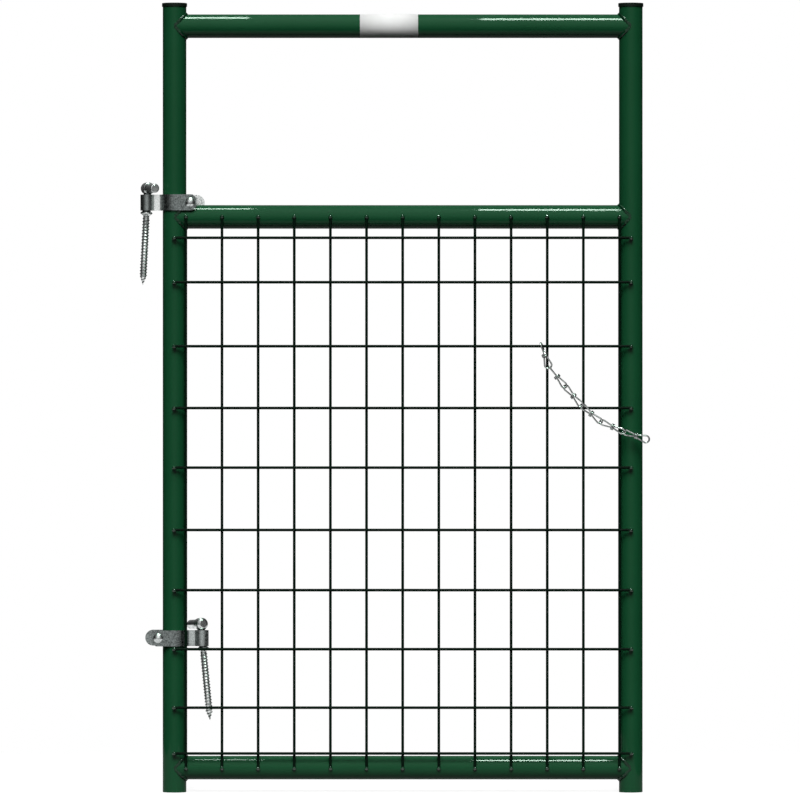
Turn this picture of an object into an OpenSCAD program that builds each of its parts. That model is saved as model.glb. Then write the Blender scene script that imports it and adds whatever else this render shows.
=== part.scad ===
// Walk-through field gate: a welded tube frame with a wire panel in its lower bay, two strap hinges
// clamped to one upright, each with a screw hook hung in its eye, and a latch chain on the wire panel.
// The origin is at the foot of the hinge upright, on its axis. +X runs to the latch upright, -Y is the
// front that carries the wires, +Z is up.

/* [Frame] */
// Outside diameter of the frame tube
tube_d = 44.5; // [40:0.5:50]
// Wall of the frame tube
tube_wall = 1.6; // [1.2:0.1:2.5]
// Distance between the axes of the two uprights
upright_spacing = 860; // [760:5:1200]
// Height of the uprights with their caps on
gate_height = 1487; // [1340:1:1700]
// Height of the bottom rail's axis
bottom_rail_z = 46; // [35:1:80]
// Height of the middle rail's axis
middle_rail_z = 1084; // [980:1:1180]
// Drop from the top of the caps to the top rail's axis
top_rail_drop = 43.5; // [36:0.5:80]
// Reach of the weld beads in the corners between rails and uprights
weld_bead = 3.5; // [2:0.5:5]

/* [Upright caps] */
// Wall of a cap's skirt
cap_wall = 1.3; // [0.8:0.1:2]
// Height of a cap
cap_h = 6.8; // [5:0.2:12]
// Thickness of a cap's top
cap_top = 1.8; // [1.2:0.1:3]

/* [Wire panel] */
// Diameter of the panel wires
wire_d = 5.2; // [4:0.1:6]
// Distance from an upright's axis to the nearest column wire
column_inset = 22; // [20:0.5:35]
// Radius of the weld nugget at a wire's end
nugget_r = 3.8; // [3.3:0.1:4.5]

/* [Hinge straps] */
// Thickness of the strap steel
strap_t = 3; // [2.5:0.1:4]
// Width of the strap, which is the height of its eye
strap_h = 30; // [25:0.5:34]
// Distance from the upright's axis to the eye's axis
eye_reach = 52; // [48:0.5:60]
// Bore of the strap's eye
eye_bore = 18.6; // [18.4:0.1:20]
// Length of the front ear from the upright's axis
front_ear = 42; // [40:0.5:50]
// Length of the back ear from the upright's axis
back_ear = 56; // [48:0.5:62]
// Distance from the upright's axis to the clamp bolt's axis
bolt_reach = 30; // [29:0.5:32]
// Diameter of the clamp bolt
bolt_d = 8; // [6:0.5:9]

/* [Screw hooks] */
// Diameter of the hinge pin
pin_d = 17.5; // [15:0.1:18]
// Reach of the pin's end from the screw's axis
pin_reach = 45; // [36:0.5:48]
// Diameter of the plain neck that passes through the eye
neck_d = 14.5; // [12:0.1:14.6]
// Diameter of the screw over its thread
screw_d = 14; // [11:0.1:14.4]
// Length of the screw from its collar to its point
screw_length = 131; // [90:1:140]
// Diameter of the collar
collar_d = 22.8; // [20:0.1:26]

/* [Latch chain] */
// Wire of a chain link
link_wire_d = 3.2; // [2.6:0.1:3.4]
// Length of a link between the wire centres of its two ends
link_length = 51.5; // [50:0.1:53]
// Radius of a loop's end bend, at the wire's centre
link_bend_r = 6.6; // [6:0.1:7]

/* [Hidden] */
// Facets of round forms
$fn = 64;
// Overrun of every cut past the face that it leaves
overrun = 1;

// Frame values
tube_r = tube_d / 2;
top_rail_z = gate_height - top_rail_drop;
rail_heights = [bottom_rail_z, middle_rail_z, top_rail_z];
upright_places = [0, upright_spacing];
// Gap between a coped rail end and the upright
cope_gap = 0.2;
// Gap between a weld and the steel that it lies on
weld_seat = 0.05;
// A bead reaches a little further along the upright than along the rail
rail_bead = weld_bead * 1.15;
// At the front and back, where the two tubes are flush, a bead is dressed down to this height
weld_skin = 0.6;
// Width of the bead along the saddle, and reach of its planes from the crossing of the axes to the corner
saddle_width = weld_bead * sqrt(2);
saddle_reach = (tube_d + weld_bead) / sqrt(2);

// Cap values
// Gap between a cap's skirt and the tube
cap_gap = 0.15;
cap_r = tube_r + cap_gap + cap_wall;
// Rounding of a cap's top edge
cap_round = cap_wall;
upright_top = gate_height - cap_top;

// Wire panel values
wire_r = wire_d / 2;
column_count = 13;
// Heights of the cross wires between the bottom rail's axis and the middle rail's axis
row_shares = [0.027, 0.11, 0.216, 0.323, 0.432, 0.545, 0.653, 0.765, 0.881, 0.9615];
row_count = len(row_shares);
panel_h = middle_rail_z - bottom_rail_z;
column_pitch = (upright_spacing - 2 * column_inset) / (column_count - 1);
// Gap between wires that are welded where they cross
wire_seat = 0.05;
column_y = -(tube_r + wire_seat + wire_r);
row_y = column_y - wire_d - wire_seat;
function column_x(i) = column_inset + i * column_pitch;
function row_z(i) = bottom_rail_z + row_shares[i] * panel_h;
column_names = [for (i = [1 : column_count]) str("column_wire_", i < 10 ? "0" : "", i)];
row_names = [for (i = [1 : row_count]) str("cross_wire_", i < 10 ? "0" : "", i)];

// Strap values
// Gap between a strap and the tube that it clamps
strap_gap = 0.2;
strap_in = tube_r + strap_gap;
strap_out = strap_in + strap_t;
eye_in = eye_bore / 2;
eye_out = eye_in + strap_t;
// Slit between the two layers of the strap's neck
neck_slit = 0.8;
neck_half = neck_slit / 2 + strap_t;
// Bend radius where the neck leaves a ring
neck_bend = 4;
// Corner cut of the front ear
ear_cut = strap_h / 4;
// Gap round a bolt in its hole
bolt_gap = 0.3;
bolt_r = bolt_d / 2;
// The upper strap's bolt lies over the middle rail's crown with this gap
crown_gap = 0.75;
upper_strap_z = middle_rail_z + tube_r + bolt_r + crown_gap;
// The lower strap sits above one cross wire's end weld with this gap
lower_row = 2;
strap_rise = 1.2;
lower_strap_z = row_z(lower_row) + nugget_r + strap_rise + strap_h / 2;
upper_eye = [-eye_reach, 0, upper_strap_z];
lower_eye = [eye_reach, 0, lower_strap_z];

// Clamp bolt values
head_r = bolt_d * 1.17;
head_h = bolt_d * 0.6;
// The head is a slice of a ball of this radius
head_ball_r = (head_r * head_r + head_h * head_h) / (2 * head_h);
nut_r = bolt_d * 0.94;
nut_h = bolt_d * 0.85;
// Length of the bolt past its nut
bolt_tail = bolt_d / 2;
// Gap between the nut's bore and the bolt
nut_gap = 0.05;

// Screw hook values
pin_r = pin_d / 2;
neck_r = neck_d / 2;
screw_r = screw_d / 2;
collar_r = collar_d / 2;
// Gap between the eye and the hook's collar and knuckle
hook_gap = 0.3;
// Radius of the forged knuckle between neck and pin
knuckle_r = pin_r * 1.3;
pin_z = strap_h / 2 + hook_gap + knuckle_r;
pin_chamfer = pin_r / 6;
// The knuckle reaches this far in front of the screw's axis, and its heel this far behind, where it ends in a flat
knuckle_front = neck_r * 1.1;
heel = pin_r * 1.35;
heel_r = pin_r - pin_chamfer;
heel_bevel = knuckle_r - heel_r;
collar_z = -strap_h / 2 - hook_gap;
collar_h = collar_d * 0.42;
collar_rim = collar_h / 6;
point_length = screw_d * 1.25;
// How each hook hangs: lean of its screw and turn of its pin from the front, in degrees
upper_lean = 2.9;
upper_turn = 20;
lower_lean = -5.5;
lower_turn = 207;

// Chain values
link_wire_r = link_wire_d / 2;
// Gap between two links, which leaves room for them to swing
link_gap = 0.9;
// Drop of the cross wire below the first link's end, which leaves room for the link's lean and turn
hang_gap = 1.8;
link_pitch = link_length - link_wire_d - link_gap;
link_half = link_length / 2;
bend_at = link_half - link_bend_r;
// The two legs of a loop lie this far from the link's axis at its waist
leg_offset = link_wire_r * 1.2;
leg_slope = asin(link_bend_r / norm([bend_at, leg_offset])) - atan(leg_offset / bend_at);
leg_length = (bend_at - link_bend_r * sin(leg_slope)) / cos(leg_slope);
// The legs draw down a little as the wire is bent, and run this far into the end bend
leg_r = link_wire_r * 0.95;
leg_overlap = link_wire_r / 2;
// The waist is bound by two turns of wire at this radius
binding_r = leg_offset + link_wire_d * 0.9;
binding_step = link_wire_d * 0.9;
// Direction of each link from straight down towards the latch upright, in degrees
link_angles = [18, 39, 41, 49, 66, 71.5];
link_count = len(link_angles);
// Turn of each link's first and second loop about the link's length, from facing sideways, in degrees
first_twists = [-12, 0, -45, -45, -45, -45];
second_twists = [90, 45, 45, 45, 45, 90];
link_names = [for (i = [1 : link_count]) str("chain_link_", i)];
// The chain hangs beside this column, on this cross wire
chain_column = 10;
chain_row = 7;
// Distance from that column's axis to the first link
chain_side = 12;
// Gap between the chain and the front of the cross wires
chain_clear = 1.5;
chain_y = row_y - wire_r - chain_clear - link_bend_r - link_wire_r;
chain_lean = asin((row_y - chain_y) / link_pitch);
chain_x = column_x(chain_column) - chain_side;
chain_z = row_z(chain_row) + wire_r + hang_gap + link_wire_r;
function link_way(i) = let (lean = i == 0 ? chain_lean : 0, turn = link_angles[i])
    [sin(turn) * cos(lean), -sin(lean), -cos(turn) * cos(lean)];
function link_start(i) = i == 0 ? [chain_x, row_y, chain_z]
    : link_start(i - 1) + link_pitch * link_way(i - 1);

// Solid bar along X from one upright's axis to the other's
module rail_bar(z, r) {
    translate([0, 0, z])
        rotate([0, 90, 0])
            cylinder(h = upright_spacing, r = r);
}

// Solid bar along an upright's axis, from one tube diameter below a height to one above it
module upright_bar(x, z, r) {
    translate([x, 0, z - tube_d])
        cylinder(h = 2 * tube_d, r = r);
}

module upright(x) {
    color("darkgreen")
        translate([x, 0, 0])
            difference() {
                cylinder(h = upright_top, r = tube_r);
                translate([0, 0, -overrun])
                    cylinder(h = gate_height + overrun, r = tube_r - tube_wall);
            }
}

// A rail's ends are coped to sit on the round of the uprights
module rail(z) {
    color("darkgreen")
        difference() {
            rail_bar(z, tube_r);
            rail_bar(z, tube_r - tube_wall);
            for (x = upright_places)
                upright_bar(x, z, tube_r + cope_gap);
        }
}

// A slip-on cap with a rounded top edge over the open end of an upright
module upright_cap(x) {
    color("darkslategray")
        translate([x, 0, gate_height - cap_h])
            rotate_extrude()
                difference() {
                    union() {
                        square([cap_r, cap_h - cap_round]);
                        square([cap_r - cap_round, cap_h]);
                        translate([cap_r - cap_round, cap_h - cap_round])
                            circle(r = cap_round);
                    }
                    square([tube_r + cap_gap, cap_h - cap_top]);
                }
}

// Band along the two sloping planes of the saddle between a rail and an upright, ending square across the corner
module saddle_band(x, z, side) {
    for (up = [-1, 1])
        translate([x, 0, z])
            rotate([0, -atan2(up, side), 0])
                translate([0, -tube_d, -saddle_width / 2])
                    cube([saddle_reach, 2 * tube_d, saddle_width]);
}

// The bead follows the saddle line where a rail meets an upright; side is 1 on the rail's +X side
module rail_weld(x, z, side) {
    difference() {
        intersection() {
            rail_bar(z, tube_r + rail_bead);
            upright_bar(x, z, tube_r + weld_bead);
            saddle_band(x, z, side);
            translate([side > 0 ? x : x - tube_d, -tube_r - weld_skin, z - tube_d])
                cube([tube_d, 2 * (tube_r + weld_skin), 2 * tube_d]);
        }
        rail_bar(z, tube_r + weld_seat);
        upright_bar(x, z, tube_r + cope_gap + weld_seat);
    }
}

// The hinge upright's bead at the middle rail is dressed flush where the upper strap clamps
module rail_welds() {
    color("seagreen")
        difference() {
            for (z = rail_heights) {
                rail_weld(0, z, 1);
                rail_weld(upright_spacing, z, -1);
            }
            translate([0, 0, upper_strap_z - strap_h / 2 - strap_gap])
                cylinder(h = strap_h + strap_gap, r = strap_out + weld_bead);
        }
}

module column_wire(i) {
    color("darkslategray")
        translate([column_x(i), column_y, bottom_rail_z])
            cylinder(h = panel_h, r = wire_r);
}

module cross_wire(i) {
    color("darkslategray")
        translate([0, row_y, row_z(i)])
            rotate([0, 90, 0])
                cylinder(h = upright_spacing, r = wire_r);
}

// Domed lump of weld that stands on the front of a tube and closes round a wire's end
module weld_lump(x, y, z) {
    translate([x, y, z])
        sphere(r = nugget_r);
    translate([x, y, z])
        rotate([-90, 0, 0])
            cylinder(h = -y - tube_r + nugget_r, r = nugget_r);
}

module column_wire_welds() {
    color("seagreen")
        for (z = [bottom_rail_z, middle_rail_z], i = [0 : column_count - 1])
            difference() {
                weld_lump(column_x(i), column_y, z);
                rail_bar(z, tube_r + weld_seat);
                translate([column_x(i), column_y, bottom_rail_z])
                    cylinder(h = panel_h, r = wire_r + weld_seat);
            }
}

module cross_wire_welds() {
    color("seagreen")
        for (x = upright_places, i = [0 : row_count - 1])
            difference() {
                weld_lump(x, row_y, row_z(i));
                upright_bar(x, row_z(i), tube_r + weld_seat);
                translate([0, row_y, row_z(i)])
                    rotate([0, 90, 0])
                        cylinder(h = upright_spacing, r = wire_r + weld_seat);
            }
}

// Fills the inside corner between the neck and a ring of radius ring_r, on the neck's front and back
module neck_corners(ring_r) {
    bend_y = neck_half + neck_bend;
    bend_x = sqrt((ring_r + neck_bend) * (ring_r + neck_bend) - bend_y * bend_y);
    touch = ring_r / (ring_r + neck_bend);
    difference() {
        polygon([
            [0, 0],
            [bend_x * touch, -bend_y * touch],
            [bend_x, -bend_y],
            [bend_x, bend_y],
            [bend_x * touch, bend_y * touch]
        ]);
        for (side = [-1, 1])
            translate([bend_x, side * bend_y])
                circle(r = neck_bend);
    }
}

// Plan of the strap: one bar bent round the eye, along the neck, round the upright and into two ears.
// The eye is at -X and the front ear on -Y.
module strap_plan() {
    difference() {
        union() {
            circle(r = strap_out);
            rotate([0, 0, 180])
                neck_corners(strap_out);
            translate([0, -strap_out])
                square([front_ear, strap_out]);
            square([back_ear, strap_out]);
            translate([-eye_reach, 0]) {
                circle(r = eye_out);
                neck_corners(eye_out);
                translate([0, -neck_half])
                    square([eye_reach, 2 * neck_half]);
            }
        }
        circle(r = strap_in);
        translate([0, -strap_in])
            square([back_ear + overrun, 2 * strap_in]);
        translate([-eye_reach, 0]) {
            circle(r = eye_in);
            translate([0, -neck_slit / 2])
                square([eye_reach, neck_slit]);
        }
    }
}

// What is cut from the ears: the front ear's two corners, and the back ear's end outside a half round
module ear_cuts() {
    for (z = [-strap_h / 2, strap_h / 2])
        translate([front_ear, -strap_in, z])
            rotate([0, 45, 0])
                cube([ear_cut * sqrt(2), 2 * strap_t + overrun, ear_cut * sqrt(2)], center = true);
    translate([back_ear - strap_h / 2, strap_in - overrun, 0])
        difference() {
            translate([0, 0, -strap_h / 2 - overrun])
                cube([strap_h / 2 + overrun, strap_t + 2 * overrun, strap_h + 2 * overrun]);
            translate([0, -overrun, 0])
                rotate([-90, 0, 0])
                    cylinder(h = strap_t + 4 * overrun, d = strap_h);
        }
}

// The strap at its own centre: the bolt hole is square in the front ear and round in the back ear
module strap() {
    color("silver")
        difference() {
            translate([0, 0, -strap_h / 2])
                linear_extrude(height = strap_h)
                    strap_plan();
            ear_cuts();
            translate([bolt_reach - bolt_r - bolt_gap, -strap_out - overrun, -bolt_r - bolt_gap])
                cube([bolt_d + 2 * bolt_gap, strap_out, bolt_d + 2 * bolt_gap]);
            translate([bolt_reach, 0, 0])
                rotate([-90, 0, 0])
                    cylinder(h = strap_out + overrun, r = bolt_r + bolt_gap);
        }
}

// Round-headed bolt with a square neck, along +Y from the front ear, at the strap's own centre
module clamp_bolt() {
    color("lightgray")
        translate([bolt_reach, -strap_out, 0])
            rotate([-90, 0, 0]) {
                intersection() {
                    translate([0, 0, head_ball_r - head_h])
                        sphere(r = head_ball_r);
                    translate([0, 0, -head_h])
                        cylinder(h = head_h, r = head_r);
                }
                translate([-bolt_r, -bolt_r, -head_h / 2])
                    cube([bolt_d, bolt_d, strap_t + head_h / 2]);
                cylinder(h = 2 * strap_out + nut_h + bolt_tail, r = bolt_r);
            }
}

// Six-sided nut against the back ear
module clamp_nut() {
    color("lightgray")
        translate([bolt_reach, strap_out, 0])
            rotate([-90, 0, 0])
                difference() {
                    cylinder(h = nut_h, r = nut_r, $fn = 6);
                    translate([0, 0, -overrun])
                        cylinder(h = nut_h + 2 * overrun, r = bolt_r + nut_gap);
                }
}

// Screw hook at the eye's centre: knuckle and pin above the eye, neck in it, collar and screw below
module screw_hook(lean, turn) {
    color("silver")
        rotate([0, lean, 0])
            rotate([0, 0, turn]) {
                translate([0, 0, pin_z])
                    rotate([90, 0, 0])
                        rotate_extrude()
                            polygon([
                                [0, -heel],
                                [heel_r, -heel],
                                [knuckle_r, heel_bevel - heel],
                                [knuckle_r, knuckle_front],
                                [pin_r, knuckle_front + knuckle_r - pin_r],
                                [pin_r, pin_reach - pin_chamfer],
                                [pin_r - pin_chamfer, pin_reach],
                                [0, pin_reach]
                            ]);
                translate([0, 0, collar_z - collar_h / 2])
                    cylinder(h = pin_z - collar_z + collar_h / 2, r = neck_r);
                translate([0, 0, collar_z])
                    rotate_extrude()
                        polygon([
                            [0, 0],
                            [neck_r, 0],
                            [collar_r, -(collar_h - collar_rim) / 2],
                            [collar_r, -(collar_h + collar_rim) / 2],
                            [screw_r, -collar_h],
                            [screw_r, point_length - screw_length - collar_h],
                            [0, -screw_length - collar_h]
                        ]);
            }
}

// One loop of a link in the XY plane, from the link's waist at the origin to its end bend on +X
module wire_loop() {
    translate([bend_at, 0, 0])
        rotate([0, 0, -90 - leg_slope])
            rotate_extrude(angle = 180 + 2 * leg_slope)
                translate([link_bend_r, 0])
                    circle(r = link_wire_r);
    for (side = [-1, 1])
        translate([0, side * leg_offset, 0])
            rotate([0, 0, side * leg_slope])
                rotate([0, 90, 0])
                    cylinder(h = leg_length + leg_overlap, r = leg_r);
}

// Two turns of wire round the legs at a link's waist
module binding() {
    rotate_extrude()
        union() {
            translate([0, -link_wire_d])
                square([leg_offset + link_wire_r, 2 * link_wire_d]);
            for (side = [-1, 1])
                translate([binding_r, side * binding_step / 2])
                    circle(r = link_wire_r);
        }
}

// A link of one bent wire: two loops turned against each other, bound round the waist. It hangs along -Z
// from the wire centre of its first loop.
module chain_link(i) {
    color("gainsboro")
        translate(link_start(i))
            rotate([0, -link_angles[i], 0])
                rotate([i == 0 ? -chain_lean : 0, 0, 0])
                    translate([0, 0, -link_half]) {
                        rotate([0, 0, first_twists[i]])
                            rotate([0, -90, 0])
                                wire_loop();
                        rotate([0, 0, second_twists[i]])
                            rotate([0, 90, 0])
                                wire_loop();
                        binding();
                    }
}

// The lower strap and its bolt are the same pieces as the upper ones, turned over so that the eye is at +X
module place_upper() {
    translate([0, 0, upper_strap_z])
        children();
}

module place_lower() {
    translate([0, 0, lower_strap_z])
        rotate([0, 180, 0])
            children();
}

upright(0);  // hinge_upright
upright(upright_spacing);  // latch_upright
rail(bottom_rail_z);  // bottom_rail
rail(middle_rail_z);  // middle_rail
rail(top_rail_z);  // top_rail
upright_cap(0);  // hinge_upright_cap
upright_cap(upright_spacing);  // latch_upright_cap
rail_welds();
for (i = [0 : column_count - 1])
    column_wire(i);
for (i = [0 : row_count - 1])
    cross_wire(i);
column_wire_welds();
cross_wire_welds();
place_upper() strap();  // upper_strap
place_upper() clamp_bolt();  // upper_bolt
place_upper() clamp_nut();  // upper_nut
translate(upper_eye) screw_hook(upper_lean, upper_turn);  // upper_hook
place_lower() strap();  // lower_strap
place_lower() clamp_bolt();  // lower_bolt
place_lower() clamp_nut();  // lower_nut
translate(lower_eye) screw_hook(lower_lean, lower_turn);  // lower_hook
for (i = [0 : link_count - 1])
    chain_link(i);
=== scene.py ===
# Looks of a walk-through field gate: green powder-coated tube and wire, zinc-plated hinge straps and screw
# hooks, and a bright wire chain. The frame's nodes keep their shapes; the screw hooks are replaced by
# forgings with a real thread, and a bare label film is laid on the top rail.
import math

import bmesh
import bpy
from mathutils import Matrix, Vector


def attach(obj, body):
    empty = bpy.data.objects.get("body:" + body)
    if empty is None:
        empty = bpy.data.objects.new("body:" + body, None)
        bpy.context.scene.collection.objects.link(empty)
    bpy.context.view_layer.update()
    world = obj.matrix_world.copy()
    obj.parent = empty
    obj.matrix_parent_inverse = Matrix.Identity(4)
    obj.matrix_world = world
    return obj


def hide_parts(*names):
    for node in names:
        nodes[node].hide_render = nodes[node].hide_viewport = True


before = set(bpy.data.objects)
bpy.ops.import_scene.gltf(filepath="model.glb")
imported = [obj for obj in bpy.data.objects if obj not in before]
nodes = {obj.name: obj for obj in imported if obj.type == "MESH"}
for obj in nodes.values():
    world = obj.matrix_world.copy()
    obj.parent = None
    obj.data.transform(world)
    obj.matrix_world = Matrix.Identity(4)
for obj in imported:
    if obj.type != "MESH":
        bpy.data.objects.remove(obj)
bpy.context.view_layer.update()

MM = 0.001

# Sizes shared with the solids, in millimetres
TUBE_R = 22.25
TOP_RAIL_Z = 1443.5
UPPER_EYE = (-52.0, 0.0, 1111.0)
LOWER_EYE = (52.0, 0.0, 290.208)
UPPER_LEAN, UPPER_TURN = 2.9, 20.0
LOWER_LEAN, LOWER_TURN = -5.5, 207.0
STRAP_H = 30.0
HOOK_GAP = 0.3
PIN_R = 8.75
PIN_REACH = 45.0
PIN_CHAMFER = PIN_R / 6
KNUCKLE_R = PIN_R * 1.3
PIN_Z = STRAP_H / 2 + HOOK_GAP + KNUCKLE_R
NECK_R = 7.25
KNUCKLE_FRONT = NECK_R * 1.1
HEEL = PIN_R * 1.35
HEEL_R = PIN_R - PIN_CHAMFER
HEEL_BEVEL = KNUCKLE_R - HEEL_R
COLLAR_R = 11.4
COLLAR_H = COLLAR_R * 2 * 0.42
COLLAR_RIM = COLLAR_H / 6
COLLAR_Z = -STRAP_H / 2 - HOOK_GAP
SCREW_R = 7.0
SCREW_LENGTH = 131.0
POINT_LENGTH = SCREW_R * 2 * 1.25
SCREW_TOP = COLLAR_Z - COLLAR_H
SCREW_TIP = SCREW_TOP - SCREW_LENGTH


# Colours and nodes

def linear(hex_colour):
    """An sRGB hex colour as linear red, green, blue and alpha."""
    parts = [int(hex_colour[i:i + 2], 16) / 255 for i in (1, 3, 5)]
    return [c / 12.92 if c <= 0.04045 else ((c + 0.055) / 1.055) ** 2.4 for c in parts] + [1.0]


def per_metre(size_mm):
    """Texture scale at which one cell of a pattern is about this many millimetres."""
    return 1000 / size_mm


def add_node(tree, kind, inputs=None, **settings):
    """Adds a node with its settings, and sets or links its inputs by name or number."""
    made = tree.nodes.new(kind)
    for name, value in settings.items():
        setattr(made, name, value)
    for name, value in (inputs or {}).items():
        if isinstance(value, bpy.types.NodeSocket):
            tree.links.new(value, made.inputs[name])
        else:
            made.inputs[name].default_value = value
    return made


def mix_colours(tree, share, first, second, blend="MIX"):
    """Goes from the first colour to the second by a share. 6, 7 and 2 are the Mix node's colour sockets."""
    mix = add_node(tree, "ShaderNodeMix", {0: share, 6: first, 7: second}, data_type="RGBA", blend_type=blend)
    return mix.outputs[2]


def rescale(tree, value, to_min, to_max, from_min=0.0, from_max=1.0):
    """Stretches a value from one range to another, and holds it at the ends."""
    ranges = {"Value": value, "From Min": from_min, "From Max": from_max, "To Min": to_min, "To Max": to_max}
    return add_node(tree, "ShaderNodeMapRange", ranges).outputs["Result"]


def noise(tree, place, size_mm, detail):
    """Soft clouds of about this size."""
    inputs = {"Vector": place, "Scale": per_metre(size_mm), "Detail": detail}
    return add_node(tree, "ShaderNodeTexNoise", inputs).outputs["Fac"]


def cells(tree, place, size_mm, feature="F1"):
    """Voronoi cells of about this size."""
    inputs = {"Vector": place, "Scale": per_metre(size_mm)}
    return add_node(tree, "ShaderNodeTexVoronoi", inputs, feature=feature)


def bumped(tree, height, strength, depth_mm):
    """Normal of a surface that rises and falls with a height."""
    inputs = {"Height": height, "Strength": strength, "Distance": depth_mm * MM}
    return add_node(tree, "ShaderNodeBump", inputs).outputs["Normal"]


def calculate(tree, operation, *values):
    """Result of one Math node."""
    return add_node(tree, "ShaderNodeMath", dict(enumerate(values)), operation=operation).outputs[0]


def empty_material(name):
    """A node material with nothing in its tree yet, and the tree."""
    material = bpy.data.materials.new(name)
    material.use_nodes = True
    material.node_tree.nodes.clear()
    return material, material.node_tree


def start_material(name):
    """An empty node material, its tree and its Object coordinates."""
    material, tree = empty_material(name)
    place = add_node(tree, "ShaderNodeTexCoord").outputs["Object"]
    return material, tree, place


def end_material(tree, shader):
    """Links the last shader to the surface."""
    add_node(tree, "ShaderNodeOutputMaterial", {"Surface": shader.outputs[0]})


# Materials

# Sizes of the patterns, in millimetres. Real orange peel is about 1 mm across and zinc crystals are finer
# still; both are drawn coarser, so that they show at this image size.
COAT_CLOUD = 90
ORANGE_PEEL = 6
WELD_RIPPLE = 4
PLATE_CLOUD = 14
STRAP_CRYSTAL = 1.7
CAP_GRAIN = 3
FILM_DUST = 12
# Share of the grain in the plate's mottle; the rest is cloud
GRAIN_SHARE = 0.35
# Depths of the bumps, in millimetres
PEEL_DEPTH = 0.2
RIPPLE_DEPTH = 1.2
PLATE_DEPTH = 0.3
CAP_DEPTH = 0.2


def powder_coat(name, deep, light, peel_height, gloss):
    """Baked powder coat on steel: a dark green film, slightly uneven in tone where the powder lies thicker.
    Where it has gloss, its smooth top gives thin pale lines of light."""
    material, tree, place = start_material(name)
    cloud = noise(tree, place, COAT_CLOUD, detail=4.0)
    peel = noise(tree, place, ORANGE_PEEL, detail=2.0)
    shader = add_node(tree, "ShaderNodeBsdfPrincipled", {
        "Base Color": mix_colours(tree, cloud, linear(deep), linear(light)),
        "Roughness": rescale(tree, cloud, 0.4, 0.5),
        "Normal": bumped(tree, peel, peel_height, PEEL_DEPTH),
        "Specular IOR Level": 0.02,
        "Coat Weight": gloss,
        "Coat Roughness": 0.03})
    end_material(tree, shader)
    return material


def weld_coat(name, deep, light, gloss):
    """Weld metal under the powder coat: rippled and lumpy, so it breaks the light into small points. The rail
    welds are given a darker green as painted shade in the seam.
    """
    material, tree, place = start_material(name)
    ripple = cells(tree, place, WELD_RIPPLE, "SMOOTH_F1").outputs["Distance"]
    normal = bumped(tree, ripple, strength=0.8, depth_mm=RIPPLE_DEPTH)
    shader = add_node(tree, "ShaderNodeBsdfPrincipled", {
        "Base Color": mix_colours(tree, ripple, linear(light), linear(deep)),
        "Roughness": 0.35,
        "Normal": normal,
        "Specular IOR Level": 0.05,
        "Coat Weight": gloss,
        "Coat Roughness": 0.1,
        "Coat Normal": normal})
    end_material(tree, shader)
    return material


def zinc_plate(name, dark, light, grain_mm, roughness, lumps):
    """Electro-plated zinc on steel: a grey metal with a mottle of darker and brighter crystals, rougher where
    it is darker."""
    material, tree, place = start_material(name)
    grain = cells(tree, place, grain_mm).outputs["Distance"]
    cloud = noise(tree, place, PLATE_CLOUD, detail=5.0)
    mottle = add_node(tree, "ShaderNodeMix", {0: GRAIN_SHARE, 2: cloud, 3: grain}).outputs[0]
    spread = rescale(tree, mottle, 0.0, 1.0, from_min=0.25, from_max=0.75)
    shader = add_node(tree, "ShaderNodeBsdfPrincipled", {
        "Base Color": mix_colours(tree, spread, linear(dark), linear(light)),
        "Roughness": rescale(tree, spread, roughness + 0.1, roughness - 0.06),
        "Normal": bumped(tree, mottle, lumps, PLATE_DEPTH),
        "Metallic": 1.0})
    end_material(tree, shader)
    return material


# Where a strap's zones of painted light and shade change, in millimetres from the upright's axis: along to
# its neck and its eye, and through to its back. Each change runs from the first place to the second.
NECK_FROM, NECK_TO = 24, 28
EYE_FROM, EYE_TO = 40, 46
BACK_FROM, BACK_TO = -6, 4
# Painted shade on the strap's front ears
STRAP_FRONT_PAINTED_SHADE = "#737978"


def strap_plate_painted_shading(name, neck_side, neck_painted_highlight, eye_painted_shading, back_painted_shading):
    """Zinc plate on bent strap, with light and shade painted into its colour by zone: painted shade on the
    front ears, a painted highlight on the neck, and painted shading of its own on the eye and on the back
    ear. A random speckle of zinc crystals lies over it, weaker on the neck and the eye. The neck lies at +X
    or -X of the upright."""
    material, tree, place = start_material(name)
    split = add_node(tree, "ShaderNodeSeparateXYZ", {0: place})
    along = calculate(tree, "MULTIPLY", split.outputs["X"], neck_side)
    neck = rescale(tree, along, 0.0, 1.0, NECK_FROM * MM, NECK_TO * MM)
    eye = rescale(tree, along, 0.0, 1.0, EYE_FROM * MM, EYE_TO * MM)
    back = rescale(tree, split.outputs["Y"], 0.0, 1.0, BACK_FROM * MM, BACK_TO * MM)
    # Painted light and shade by zone: front ears and back ear, then neck and eye
    ears = mix_colours(tree, back, linear(STRAP_FRONT_PAINTED_SHADE), linear(back_painted_shading))
    neck_eye_painted_shading = mix_colours(tree, eye, linear(neck_painted_highlight), linear(eye_painted_shading))
    zone = mix_colours(tree, neck, ears, neck_eye_painted_shading)
    crystal = cells(tree, place, STRAP_CRYSTAL)
    chance = add_node(tree, "ShaderNodeSeparateColor", {0: crystal.outputs["Color"]})
    spark = rescale(tree, chance.outputs["Red"], 0.45, 1.5)
    speckle = rescale(tree, neck, 1.0, 0.35)
    shader = add_node(tree, "ShaderNodeBsdfPrincipled", {
        "Base Color": mix_colours(tree, speckle, zone, spark, "MULTIPLY"),
        "Roughness": rescale(tree, chance.outputs["Green"], 0.26, 0.4),
        "Metallic": 1.0})
    end_material(tree, shader)
    return material


def cap_plastic(name):
    """Moulded polyethylene: a dark matt cap with a soft sheen and a fine grain."""
    material, tree, place = start_material(name)
    grain = noise(tree, place, CAP_GRAIN, detail=3.0)
    shader = add_node(tree, "ShaderNodeBsdfPrincipled", {
        "Base Color": mix_colours(tree, grain, linear("#0A120D"), linear("#16241B")),
        "Roughness": 0.5,
        "Normal": bumped(tree, grain, strength=0.15, depth_mm=CAP_DEPTH),
        "Specular IOR Level": 0.1})
    end_material(tree, shader)
    return material


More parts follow.
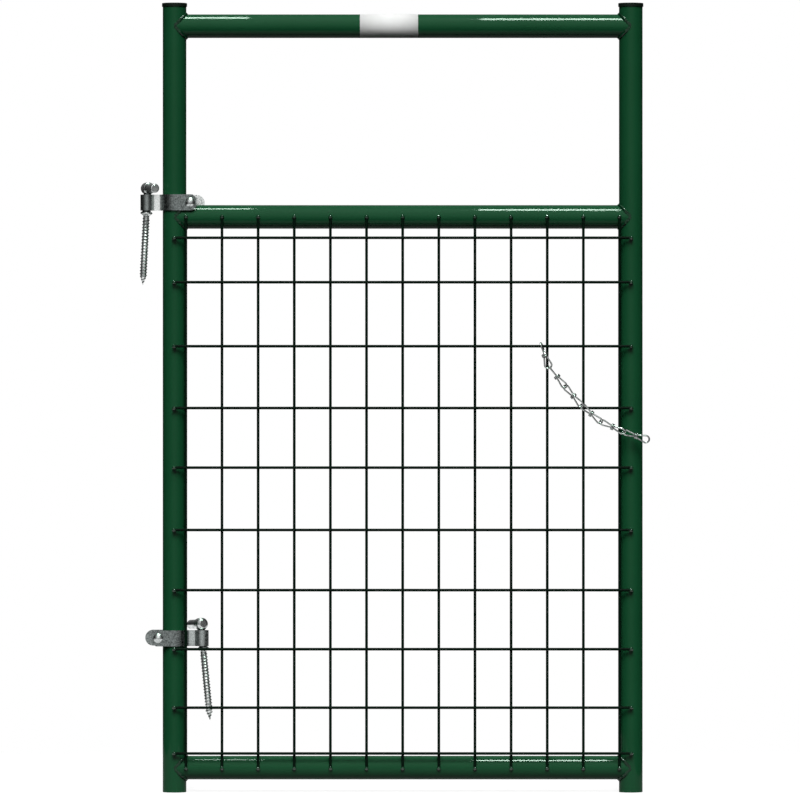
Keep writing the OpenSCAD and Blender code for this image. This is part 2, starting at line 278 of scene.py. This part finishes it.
def label_film(name):
    """White vinyl film: a smooth pale sheet with a little handling dust in its tone."""
    material, tree, place = start_material(name)
    dust = noise(tree, place, FILM_DUST, detail=5.0)
    shader = add_node(tree, "ShaderNodeBsdfPrincipled", {
        "Base Color": mix_colours(tree, dust, linear("#F2F4F2"), linear("#FDFEFD")),
        "Roughness": 0.7,
        "Specular IOR Level": 0.1})
    end_material(tree, shader)
    return material


TUBE_COAT = powder_coat("green powder coat on tube", "#144C2D", "#185433", peel_height=0.3, gloss=0.15)
# The wire coat is near black as painted shade: the real coat is the tubes' green, and this dark stands for
# how dark the thin wires look
WIRE_COAT_PAINTED_SHADE = powder_coat("green powder coat on wire", "#07140D", "#0C2015", peel_height=0.1, gloss=0.0)
# The rail welds' darker green is painted shade of the crevice where rail meets upright
SEAM_COAT_PAINTED_SHADE = weld_coat("rail weld coat darkened as painted seam shade", "#061C10", "#0E4026", gloss=0.4)
NUGGET_COAT = weld_coat("green powder coat on wire welds", "#0A2416", "#16492E", gloss=1.0)
# Each strap has its own painted highlight on the neck and painted shading on the eye and back ear, so the two
# copies are lit differently in their colour
UPPER_STRAP_PAINTED_SHADING = strap_plate_painted_shading("zinc plate on upper strap with painted light and shade", neck_side=-1, neck_painted_highlight="#F4F7F6", eye_painted_shading="#8C9291",
                          back_painted_shading="#E8ECEB")
LOWER_STRAP_PAINTED_SHADING = strap_plate_painted_shading("zinc plate on lower strap with painted light and shade", neck_side=1, neck_painted_highlight="#B8BEBD", eye_painted_shading="#A0A6A5",
                          back_painted_shading="#8A908F")
ZINC = zinc_plate("zinc plate on bolts and nuts", "#8C9291", "#E6EAE9", grain_mm=4, roughness=0.26,
                  lumps=0.25)
FORGED_ZINC = zinc_plate("zinc plate on forged steel", "#8C9291", "#EEF1F0", grain_mm=6, roughness=0.24,
                         lumps=0.25)
# Painted light and shade on the screw: the shank between the thread's turns is painted bright as a highlight,
# and the rougher thread is painted dark as shade
SHANK_ZINC_PAINTED_HIGHLIGHT = zinc_plate("zinc plate on screw shank, painted bright as highlight", "#D0D5D4", "#FAFCFB", grain_mm=12, roughness=0.34,
                        lumps=0.02)
THREAD_ZINC_PAINTED_SHADE = zinc_plate("zinc plate on rolled thread, painted dark as shade", "#4C5150", "#8A908E", grain_mm=12,
                         roughness=0.42, lumps=0.02)
CHAIN_ZINC = zinc_plate("bright zinc plate on bent wire", "#666B6A", "#C4C9C7", grain_mm=3, roughness=0.22,
                        lumps=0.2)
CAP = cap_plastic("dark moulded polyethylene")
LABEL = label_film("white vinyl film")


def paint(node_name, material):
    """Gives a frame node one material on all its slots."""
    mesh = nodes[node_name].data
    mesh.materials.clear()
    mesh.materials.append(material)


for node_name in nodes:
    if node_name.endswith("_rail") or node_name.endswith("_upright"):
        paint(node_name, TUBE_COAT)
    elif node_name == "rail_welds":
        paint(node_name, SEAM_COAT_PAINTED_SHADE)
    elif node_name.endswith("_wire_welds"):
        paint(node_name, NUGGET_COAT)
    elif "_wire_" in node_name:
        paint(node_name, WIRE_COAT_PAINTED_SHADE)
    elif node_name.endswith("_cap"):
        paint(node_name, CAP)
    elif node_name.startswith("chain_link"):
        paint(node_name, CHAIN_ZINC)
    elif node_name == "upper_strap":
        paint(node_name, UPPER_STRAP_PAINTED_SHADING)
    elif node_name == "lower_strap":
        paint(node_name, LOWER_STRAP_PAINTED_SHADING)
    else:
        paint(node_name, ZINC)


# Mesh pieces

# Vertices closer than this, in millimetres, are joined
WELD_DISTANCE = 0.001


def make_piece(name, bm, body, material):
    """Turns a bmesh into an object at the origin that rides on a body."""
    bmesh.ops.remove_doubles(bm, verts=bm.verts, dist=WELD_DISTANCE * MM)
    bmesh.ops.recalc_face_normals(bm, faces=bm.faces)
    mesh = bpy.data.meshes.new(name)
    bm.to_mesh(mesh)
    bm.free()
    mesh.shade_smooth()
    mesh.materials.append(material)
    piece = bpy.data.objects.new(name, mesh)
    bpy.context.collection.objects.link(piece)
    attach(piece, body)
    return piece


def add_chain(bm, points, closed=False):
    """Vertices at these points in millimetres, joined in order by edges."""
    verts = [bm.verts.new(Vector(p) * MM) for p in points]
    ends = verts[1:] + verts[:1] if closed else verts[1:]
    edges = [bm.edges.new(pair) for pair in zip(verts, ends)]
    return verts + edges


def revolve(bm, profile, steps=48):
    """Turns a profile of (radius, height) points in millimetres round the Z axis."""
    chain = add_chain(bm, [(r, 0, z) for r, z in profile])
    bmesh.ops.spin(bm, geom=chain, cent=(0, 0, 0), axis=(0, 0, 1), dvec=(0, 0, 0), angle=2 * math.pi,
                   steps=steps, use_merge=True)


# Screw hooks

# The wood screw's thread stands this far above its core, in turns this far apart
THREAD_H = 1.3
THREAD_PITCH = 5.8
# Half the thread's width at its foot and at its crest, and how deep its foot sinks into the core
THREAD_BASE = 1.3
THREAD_CREST = 0.5
THREAD_SINK = 0.5
# Steps in one turn of the thread
THREAD_STEPS = 28
# The thread's point ends at this radius
THREAD_POINT_R = 0.02
CORE_R = SCREW_R - THREAD_H
# Cell of the mesh that runs a forging together
FORGING_VOXEL = 0.6


def core_radius(z):
    """Radius of the screw's core at a height, drawn to a point at its tip."""
    share = min(1.0, (z - SCREW_TIP) / POINT_LENGTH)
    return CORE_R * max(0.0, share)


def thread_fade(z):
    """Share of the full thread height at a height: it grows out of the point and runs out at the collar."""
    return max(0.0, min(1.0, (z - SCREW_TIP) / POINT_LENGTH, (SCREW_TOP - z) / THREAD_PITCH))


def screw_thread(bm):
    """A ridge wound round the core from the point to the collar."""
    turns = (SCREW_LENGTH - THREAD_PITCH) / THREAD_PITCH
    steps = int(turns * THREAD_STEPS)
    low = SCREW_TIP + THREAD_BASE
    foot = CORE_R - THREAD_SINK
    section = [(foot, 0, low - THREAD_BASE), (SCREW_R, 0, low - THREAD_CREST),
               (SCREW_R, 0, low + THREAD_CREST), (foot, 0, low + THREAD_BASE)]
    ring = add_chain(bm, section, closed=True)
    bmesh.ops.spin(bm, geom=ring, cent=(0, 0, 0), axis=(0, 0, 1), angle=2 * math.pi * steps / THREAD_STEPS,
                   dvec=(0, 0, THREAD_PITCH / THREAD_STEPS * MM), steps=steps, use_merge=False)
    for vert in bm.verts:
        z = vert.co.z / MM
        flat = Vector((vert.co.x, vert.co.y, 0)) / MM
        above = flat.length - CORE_R
        flat = flat.normalized() * max(THREAD_POINT_R, core_radius(z) + above * thread_fade(z))
        vert.co.x = flat.x * MM
        vert.co.y = flat.y * MM
    bmesh.ops.holes_fill(bm, edges=[e for e in bm.edges if e.is_boundary], sides=0)


def hook_place(eye, lean, turn):
    """Where a hook stands: leaning in its eye, with its pin turned from the front."""
    return (Matrix.Translation(Vector(eye) * MM) @ Matrix.Rotation(math.radians(lean), 4, "Y")
            @ Matrix.Rotation(math.radians(turn), 4, "Z"))


def hook_forging(bm):
    """Pin, knuckle, neck and collar as overlapping closed forms, to be run together as one forging."""
    revolve(bm, [(0, -HEEL), (HEEL_R, -HEEL), (KNUCKLE_R, HEEL_BEVEL - HEEL), (KNUCKLE_R, KNUCKLE_FRONT),
                 (PIN_R, KNUCKLE_FRONT + KNUCKLE_R - PIN_R), (PIN_R, PIN_REACH - PIN_CHAMFER),
                 (PIN_R - PIN_CHAMFER, PIN_REACH), (0, PIN_REACH)])
    bmesh.ops.rotate(bm, verts=bm.verts, cent=(0, 0, 0), matrix=Matrix.Rotation(math.radians(90), 3, "X"))
    bmesh.ops.translate(bm, verts=bm.verts, vec=(0, 0, PIN_Z * MM))
    rim_top = COLLAR_Z - (COLLAR_H - COLLAR_RIM) / 2
    shank_end = SCREW_TOP - THREAD_PITCH
    revolve(bm, [(0, PIN_Z), (NECK_R, PIN_Z), (NECK_R, COLLAR_Z), (COLLAR_R, rim_top),
                 (COLLAR_R, rim_top - COLLAR_RIM), (CORE_R, SCREW_TOP), (CORE_R, shank_end), (0, shank_end)])


def screw_hook(body, eye, lean, turn):
    """One hook: a forging run together and softened, and below it the screw's shank and its thread."""
    place = hook_place(eye, lean, turn)
    bm = bmesh.new()
    hook_forging(bm)
    bm.transform(place)
    forging = make_piece(body + "_forging", bm, body, FORGED_ZINC)
    knit = forging.modifiers.new("run together", "REMESH")
    knit.mode = "VOXEL"
    knit.voxel_size = FORGING_VOXEL * MM
    knit.use_smooth_shade = True
    soften = forging.modifiers.new("soften", "SMOOTH")
    soften.factor = 0.5
    soften.iterations = 5
    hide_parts(body)
    bm = bmesh.new()
    revolve(bm, [(0, SCREW_TOP), (CORE_R, SCREW_TOP), (CORE_R, SCREW_TIP + POINT_LENGTH), (0, SCREW_TIP)])
    bm.transform(place)
    make_piece(body + "_shank", bm, body, SHANK_ZINC_PAINTED_HIGHLIGHT)
    bm = bmesh.new()
    screw_thread(bm)
    bm.transform(place)
    make_piece(body + "_thread", bm, body, THREAD_ZINC_PAINTED_SHADE)


screw_hook("upper_hook", UPPER_EYE, UPPER_LEAN, UPPER_TURN)
screw_hook("lower_hook", LOWER_EYE, LOWER_LEAN, LOWER_TURN)


# Label film, laid round the front of the top rail

LABEL_LEFT, LABEL_RIGHT = 349.5, 459.0
# Reach above and below the rail's front, in degrees
LABEL_WRAP = 84.0
LABEL_LIFT = 0.1
LABEL_T = 0.15
LABEL_STEPS = 36


def label_film_sheet(bm):
    """A thin sheet bent round the rail's axis, from below its front to above it."""
    r = TUBE_R + LABEL_LIFT
    low = math.radians(-LABEL_WRAP)
    start = [(x, -r * math.cos(low), r * math.sin(low) + TOP_RAIL_Z) for x in (LABEL_LEFT, LABEL_RIGHT)]
    chain = add_chain(bm, start)
    bmesh.ops.spin(bm, geom=chain, cent=(0, 0, TOP_RAIL_Z * MM), axis=(-1, 0, 0), dvec=(0, 0, 0),
                   angle=math.radians(2 * LABEL_WRAP), steps=LABEL_STEPS, use_merge=False)
    bmesh.ops.recalc_face_normals(bm, faces=bm.faces)
    bmesh.ops.solidify(bm, geom=bm.faces, thickness=LABEL_T * MM)


bm = bmesh.new()
label_film_sheet(bm)
make_piece("label_film", bm, "leaf", LABEL)


# Stage, light and camera

FLOOR_SIZE = 3.0
# The photo is 800 pixels wide, at this many millimetres to the pixel
PHOTO_PIXELS, PIXEL_MM = 800, 1.885
VIEW_CENTRE = Vector((424.97, 0, 738.92)) * MM
VIEW_WIDTH = PHOTO_PIXELS * PIXEL_MM * MM
CAMERA_DISTANCE = 14.0
WHITE = linear("#FFFFFF")


def seen_rays(tree):
    """1 for rays that show the background itself: straight, mirrored or through glass."""
    path = add_node(tree, "ShaderNodeLightPath")
    either = calculate(tree, "MAXIMUM", path.outputs["Is Camera Ray"], path.outputs["Is Glossy Ray"])
    return calculate(tree, "MAXIMUM", either, path.outputs["Is Transmission Ray"])


def floor_paint():
    """Pale matt floor that reads as white and still takes the gate's soft shadow."""
    material, tree = empty_material("pale matt floor")
    # It throws little light back up, so that the rails stay dark underneath
    matt = add_node(tree, "ShaderNodeBsdfDiffuse", {"Color": linear("#3C3C3C")})
    faint = add_node(tree, "ShaderNodeBsdfDiffuse", {"Color": linear("#868686")})
    glow = add_node(tree, "ShaderNodeEmission", {"Color": WHITE, "Strength": 0.84})
    shown = add_node(tree, "ShaderNodeAddShader", {0: faint.outputs[0], 1: glow.outputs[0]})
    shader = add_node(tree, "ShaderNodeMixShader",
                      {0: seen_rays(tree), 1: matt.outputs[0], 2: shown.outputs[0]})
    end_material(tree, shader)
    return material


bm = bmesh.new()
bmesh.ops.create_grid(bm, x_segments=1, y_segments=1, size=FLOOR_SIZE / 2)
floor_mesh = bpy.data.meshes.new("floor")
bm.to_mesh(floor_mesh)
bm.free()
floor_mesh.materials.append(floor_paint())
floor = bpy.data.objects.new("floor", floor_mesh)
bpy.context.collection.objects.link(floor)


# Light on matt surfaces comes from this far above the horizon, in degrees, gathered this narrowly
LIGHT_RISE, LIGHT_FOCUS = 48.0, 30.0
LIGHT_PEAK, LIGHT_ROUND = 16.0, 0.01
# The bright wall in front that shiny surfaces mirror, and the dim room round it
WALL_RISE, WALL_FOCUS = 22.0, 5.0
WALL_PEAK, ROOM_GLOW = 1.1, 0.02
# Behind the gate both are weaker by these shares, so that the tubes keep dark edges
LIGHT_BACK, WALL_BACK = 0.35, 0.2
# A mirror shows the white backdrop where its ray points straight back: it comes in between these values of Y
BACKDROP_FROM, BACKDROP_TO = 0.97, 0.99


def glow_towards(tree, way, rise, side, focus, peak, rest):
    """Light that is strongest in one raised direction, in front or behind, added to what is already there."""
    aim = (0, side * math.cos(math.radians(rise)), math.sin(math.radians(rise)))
    facing = add_node(tree, "ShaderNodeVectorMath", {0: way, 1: aim}, operation="DOT_PRODUCT")
    lit = calculate(tree, "MAXIMUM", facing.outputs["Value"], 0.0)
    return calculate(tree, "MULTIPLY_ADD", calculate(tree, "POWER", lit, focus), peak, rest)


def studio_world():
    """A white backdrop, the dim studio that shiny metal mirrors beside it, and the light on matt surfaces.
    That light comes from high in front and high behind, so that round tubes darken towards their edges."""
    world = bpy.data.worlds.new("studio")
    world.use_nodes = True
    tree = world.node_tree
    tree.nodes.clear()
    way = add_node(tree, "ShaderNodeTexCoord").outputs["Generated"]
    depth = add_node(tree, "ShaderNodeSeparateXYZ", {0: way}).outputs["Y"]
    # Seen straight on, the backdrop is white all round; a mirror sees it where it stands behind the gate
    behind = add_node(tree, "ShaderNodeMapRange",
                      {"Value": depth, "From Min": BACKDROP_FROM, "From Max": BACKDROP_TO},
                      interpolation_type="SMOOTHSTEP").outputs["Result"]
    path = add_node(tree, "ShaderNodeLightPath")
    white = calculate(tree, "MAXIMUM", path.outputs["Is Camera Ray"], behind)
    mirrored = glow_towards(tree, way, WALL_RISE, 1, WALL_FOCUS, WALL_PEAK * WALL_BACK, ROOM_GLOW)
    mirrored = glow_towards(tree, way, WALL_RISE, -1, WALL_FOCUS, WALL_PEAK, mirrored)
    backdrop = add_node(tree, "ShaderNodeMix", {0: white, 2: mirrored, 3: 1.0}).outputs[0]
    shown = add_node(tree, "ShaderNodeBackground", {"Color": WHITE, "Strength": backdrop})
    cast = glow_towards(tree, way, LIGHT_RISE, 1, LIGHT_FOCUS, LIGHT_PEAK * LIGHT_BACK, LIGHT_ROUND)
    cast = glow_towards(tree, way, LIGHT_RISE, -1, LIGHT_FOCUS, LIGHT_PEAK, cast)
    light = add_node(tree, "ShaderNodeBackground", {"Color": WHITE, "Strength": cast})
    mixed = add_node(tree, "ShaderNodeMixShader",
                     {0: seen_rays(tree), 1: light.outputs[0], 2: shown.outputs[0]})
    add_node(tree, "ShaderNodeOutputWorld", {"Surface": mixed.outputs[0]})
    return world


# Height, length and tint of the strip lamps, and the height that they look at, in metres
STRIP_Z, STRIP_LENGTH = 4.2, 1.05
STRIP_AIM_Z = 1.0
STRIP_TINT = linear("#E2FFEE")[:3]


def add_strip(name, x, y, width, power):
    """A strip lamp above the front, seen only as a gleam on shiny surfaces: metres, and watts of power."""
    lamp = bpy.data.lights.new(name, "AREA")
    lamp.shape = "RECTANGLE"
    lamp.size = width
    lamp.size_y = STRIP_LENGTH
    lamp.energy = power
    lamp.color = STRIP_TINT
    place = Vector((x, y, STRIP_Z))
    aim = Vector((x, 0, STRIP_AIM_Z))
    holder = bpy.data.objects.new(name, lamp)
    holder.location = place
    holder.rotation_euler = (aim - place).to_track_quat("-Z", "Y").to_euler()
    holder.visible_diffuse = False
    bpy.context.collection.objects.link(holder)


bpy.context.scene.world = studio_world()
# Two strips give the rails their thin lines of light near each end
add_strip("hinge side strip", x=0.005, y=-0.29, width=0.156, power=54)
add_strip("latch side strip", x=0.774, y=-1.18, width=0.326, power=115)

lens = bpy.data.cameras.new("camera")
lens.sensor_width = 36.0
lens.lens = lens.sensor_width * CAMERA_DISTANCE / VIEW_WIDTH
lens.clip_end = 100
camera = bpy.data.objects.new("camera", lens)
camera.location = VIEW_CENTRE + Vector((0, -CAMERA_DISTANCE, 0))
camera.rotation_euler = (math.radians(90), 0, 0)
bpy.context.collection.objects.link(camera)
bpy.context.scene.camera = camera
bpy.context.scene.view_settings.view_transform = "Standard"

bpy.context.view_layer.update()
